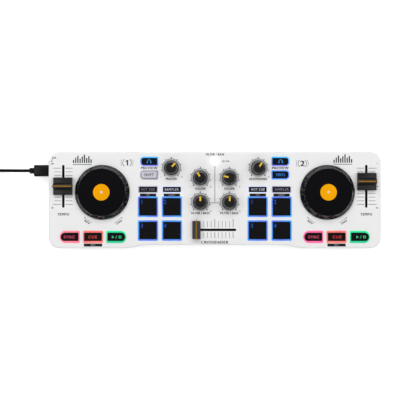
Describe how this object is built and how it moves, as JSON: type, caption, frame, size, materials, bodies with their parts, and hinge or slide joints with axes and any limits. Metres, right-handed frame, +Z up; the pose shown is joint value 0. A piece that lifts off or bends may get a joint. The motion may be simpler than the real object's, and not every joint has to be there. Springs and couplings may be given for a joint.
{
  "type": "dj controller",
  "caption": "Compact two-deck DJ controller: jog wheels, glowing pads and transport keys, tempo faders, a crossfader, rotary knobs and a USB lead, on four feet.",
  "frame": {"origin": "on the resting plane, under the middle of the body", "axes": "+X to the player's right, +Y to the rear, +Z up"},
  "size_m": [0.4598, 0.0996, 0.042],
  "materials": {
    "white_case": "satin moulded ABS, white",
    "black_case": "fine textured moulded ABS, black",
    "black_gloss": "glossy moulded ABS, black",
    "black_disc": "satin film, black",
    "key_black": "smoked polycarbonate, satin",
    "key_grey": "translucent silicone, lilac grey",
    "light_guide": "translucent diffusing polycarbonate",
    "white_lens": "translucent white lens",
    "knob_black": "glossy moulded ABS, black",
    "fader_black": "satin moulded ABS, black",
    "steel": "pressed steel, nickel plated",
    "circuit_board": "green solder mask",
    "component_black": "moulded epoxy, black",
    "cell_wrap": "printed film wrap, plain",
    "foot_rubber": "matt rubber",
    "cord_pvc": "matt PVC, black",
    "screw_steel": "black zinc plated steel"
  },
  "bodies": {
    "case": {"top_shell": "white_case", "bottom_shell": "black_case", "main_board": "circuit_board", "board_chips": "component_black", "light_frames": "light_guide", "battery_contacts": "steel", "tact_switches": "component_black", "slide_pots": "steel", "rotary_pots": "steel", "usb_socket": "steel", "batteries": "cell_wrap", "rubber_feet": "foot_rubber", "case_screws": "screw_steel", "usb_plug": "cord_pvc", "usb_cable": "cord_pvc", "cable_coil": "cord_pvc", "usb_a_plug": "cord_pvc"},
    "pad_left_1": {"pad_left_1": "key_black"},
    "pad_left_2": {"pad_left_2": "key_black"},
    "pad_left_3": {"pad_left_3": "key_black"},
    "pad_left_4": {"pad_left_4": "key_black"},
    "pad_right_1": {"pad_right_1": "key_black"},
    "pad_right_2": {"pad_right_2": "key_black"},
    "pad_right_3": {"pad_right_3": "key_black"},
    "pad_right_4": {"pad_right_4": "key_black"},
    "mode_button_left_inner": {"mode_button_left_inner": "key_black"},
    "mode_button_left_outer": {"mode_button_left_outer": "key_black"},
    "mode_button_right_inner": {"mode_button_right_inner": "key_black"},
    "mode_button_right_outer": {"mode_button_right_outer": "key_black"},
    "sync_button_left": {"sync_button_left": "key_black"},
    "sync_button_right": {"sync_button_right": "key_black"},
    "cue_button_left": {"cue_button_left": "key_black"},
    "cue_button_right": {"cue_button_right": "key_black"},
    "play_button_left": {"play_button_left": "key_black"},
    "play_button_right": {"play_button_right": "key_black"},
    "headphone_button_left": {"headphone_button_left": "key_black"},
    "headphone_button_right": {"headphone_button_right": "key_black"},
    "shift_button": {"shift_button": "key_grey"},
    "vinyl_button": {"vinyl_button": "key_black"},
    "centre_button": {"centre_button": "white_lens"},
    "knob_master": {"knob_master": "knob_black"},
    "knob_headphones": {"knob_headphones": "knob_black"},
    "knob_volume_left": {"knob_volume_left": "knob_black"},
    "knob_volume_right": {"knob_volume_right": "knob_black"},
    "knob_filter_left": {"knob_filter_left": "knob_black"},
    "knob_filter_right": {"knob_filter_right": "knob_black"},
    "jog_left": {"jog_wheel_left": "black_gloss", "jog_disc_left": "black_disc", "jog_encoder_left": "component_black"},
    "jog_right": {"jog_wheel_right": "black_gloss", "jog_disc_right": "black_disc", "jog_encoder_right": "component_black"},
    "tempo_fader_left": {"tempo_cap_left": "fader_black", "tempo_lever_left": "steel"},
    "tempo_fader_right": {"tempo_cap_right": "fader_black", "tempo_lever_right": "steel"},
    "crossfader": {"crossfader_cap": "fader_black", "crossfader_lever": "steel"},
    "power_switch": {"power_slider": "black_case"},
    "battery_door": {"battery_door": "black_case"}
  },
  "joints": [
    {"name": "pad_left_1_press", "type": "slide", "parent": "case", "child": "pad_left_1", "axis": [0, 0, -1], "range_m": [0, 0.0012], "stiffness_N_per_m": 300},
    {"name": "pad_left_2_press", "type": "slide", "parent": "case", "child": "pad_left_2", "axis": [0, 0, -1], "range_m": [0, 0.0012], "stiffness_N_per_m": 300},
    {"name": "pad_left_3_press", "type": "slide", "parent": "case", "child": "pad_left_3", "axis": [0, 0, -1], "range_m": [0, 0.0012], "stiffness_N_per_m": 300},
    {"name": "pad_left_4_press", "type": "slide", "parent": "case", "child": "pad_left_4", "axis": [0, 0, -1], "range_m": [0, 0.0012], "stiffness_N_per_m": 300},
    {"name": "pad_right_1_press", "type": "slide", "parent": "case", "child": "pad_right_1", "axis": [0, 0, -1], "range_m": [0, 0.0012], "stiffness_N_per_m": 300},
    {"name": "pad_right_2_press", "type": "slide", "parent": "case", "child": "pad_right_2", "axis": [0, 0, -1], "range_m": [0, 0.0012], "stiffness_N_per_m": 300},
    {"name": "pad_right_3_press", "type": "slide", "parent": "case", "child": "pad_right_3", "axis": [0, 0, -1], "range_m": [0, 0.0012], "stiffness_N_per_m": 300},
    {"name": "pad_right_4_press", "type": "slide", "parent": "case", "child": "pad_right_4", "axis": [0, 0, -1], "range_m": [0, 0.0012], "stiffness_N_per_m": 300},
    {"name": "mode_button_left_inner_press", "type": "slide", "parent": "case", "child": "mode_button_left_inner", "axis": [0, 0, -1], "range_m": [0, 0.0008], "stiffness_N_per_m": 300},
    {"name": "mode_button_left_outer_press", "type": "slide", "parent": "case", "child": "mode_button_left_outer", "axis": [0, 0, -1], "range_m": [0, 0.0008], "stiffness_N_per_m": 300},
    {"name": "mode_button_right_inner_press", "type": "slide", "parent": "case", "child": "mode_button_right_inner", "axis": [0, 0, -1], "range_m": [0, 0.0008], "stiffness_N_per_m": 300},
    {"name": "mode_button_right_outer_press", "type": "slide", "parent": "case", "child": "mode_button_right_outer", "axis": [0, 0, -1], "range_m": [0, 0.0008], "stiffness_N_per_m": 300},
    {"name": "sync_button_left_press", "type": "slide", "parent": "case", "child": "sync_button_left", "axis": [0, 0, -1], "range_m": [0, 0.0008], "stiffness_N_per_m": 300},
    {"name": "sync_button_right_press", "type": "slide", "parent": "case", "child": "sync_button_right", "axis": [0, 0, -1], "range_m": [0, 0.0008], "stiffness_N_per_m": 300},
    {"name": "cue_button_left_press", "type": "slide", "parent": "case", "child": "cue_button_left", "axis": [0, 0, -1], "range_m": [0, 0.0008], "stiffness_N_per_m": 300},
    {"name": "cue_button_right_press", "type": "slide", "parent": "case", "child": "cue_button_right", "axis": [0, 0, -1], "range_m": [0, 0.0008], "stiffness_N_per_m": 300},
    {"name": "play_button_left_press", "type": "slide", "parent": "case", "child": "play_button_left", "axis": [0, 0, -1], "range_m": [0, 0.0008], "stiffness_N_per_m": 300},
    {"name": "play_button_right_press", "type": "slide", "parent": "case", "child": "play_button_right", "axis": [0, 0, -1], "range_m": [0, 0.0008], "stiffness_N_per_m": 300},
    {"name": "headphone_button_left_press", "type": "slide", "parent": "case", "child": "headphone_button_left", "axis": [0, 0, -1], "range_m": [0, 0.0008], "stiffness_N_per_m": 300},
    {"name": "headphone_button_right_press", "type": "slide", "parent": "case", "child": "headphone_button_right", "axis": [0, 0, -1], "range_m": [0, 0.0008], "stiffness_N_per_m": 300},
    {"name": "shift_button_press", "type": "slide", "parent": "case", "child": "shift_button", "axis": [0, 0, -1], "range_m": [0, 0.0008], "stiffness_N_per_m": 300},
    {"name": "vinyl_button_press", "type": "slide", "parent": "case", "child": "vinyl_button", "axis": [0, 0, -1], "range_m": [0, 0.0008], "stiffness_N_per_m": 300},
    {"name": "centre_button_press", "type": "slide", "parent": "case", "child": "centre_button", "axis": [0, 0, -1], "range_m": [0, 0.0008], "stiffness_N_per_m": 300},
    {"name": "knob_master_turn", "type": "hinge", "parent": "case", "child": "knob_master", "pos_m": [-0.0446, 0.033, 0.0285], "axis": [0, 0, 1], "range_deg": [-95, 185]},
    {"name": "knob_headphones_turn", "type": "hinge", "parent": "case", "child": "knob_headphones", "pos_m": [0.0446, 0.033, 0.0285], "axis": [0, 0, 1], "range_deg": [-109, 171]},
    {"name": "knob_volume_left_turn", "type": "hinge", "parent": "case", "child": "knob_volume_left", "pos_m": [-0.01485, 0.0228, 0.0285], "axis": [0, 0, 1], "range_deg": [-170, 110]},
    {"name": "knob_volume_right_turn", "type": "hinge", "parent": "case", "child": "knob_volume_right", "pos_m": [0.01485, 0.0228, 0.0285], "axis": [0, 0, 1], "range_deg": [-216, 64]},
    {"name": "knob_filter_left_turn", "type": "hinge", "parent": "case", "child": "knob_filter_left", "pos_m": [-0.0149, -0.00235, 0.0285], "axis": [0, 0, 1], "range_deg": [-140, 140]},
    {"name": "knob_filter_right_turn", "type": "hinge", "parent": "case", "child": "knob_filter_right", "pos_m": [0.0149, -0.00235, 0.0285], "axis": [0, 0, 1], "range_deg": [-140, 140]},
    {"name": "jog_left_spin", "type": "hinge", "parent": "case", "child": "jog_left", "pos_m": [-0.1156, 0.00785, 0.0285], "axis": [0, 0, 1], "continuous": true},
    {"name": "jog_right_spin", "type": "hinge", "parent": "case", "child": "jog_right", "pos_m": [0.1156, 0.00785, 0.0285], "axis": [0, 0, 1], "continuous": true},
    {"name": "tempo_left_slide", "type": "slide", "parent": "case", "child": "tempo_fader_left", "axis": [0, 1, 0], "range_m": [-0.0189, 0.0189]},
    {"name": "tempo_right_slide", "type": "slide", "parent": "case", "child": "tempo_fader_right", "axis": [0, 1, 0], "range_m": [-0.0237, 0.0141]},
    {"name": "crossfader_slide", "type": "slide", "parent": "case", "child": "crossfader", "axis": [1, 0, 0], "range_m": [0, 0.0378]},
    {"name": "power_switch_slide", "type": "slide", "parent": "case", "child": "power_switch", "axis": [0, -1, 0], "range_m": [0, 0.004]},
    {"name": "battery_door_lift", "type": "slide", "parent": "case", "child": "battery_door", "axis": [0, 0, -1], "range_m": [0, 0.02]}
  ]
}
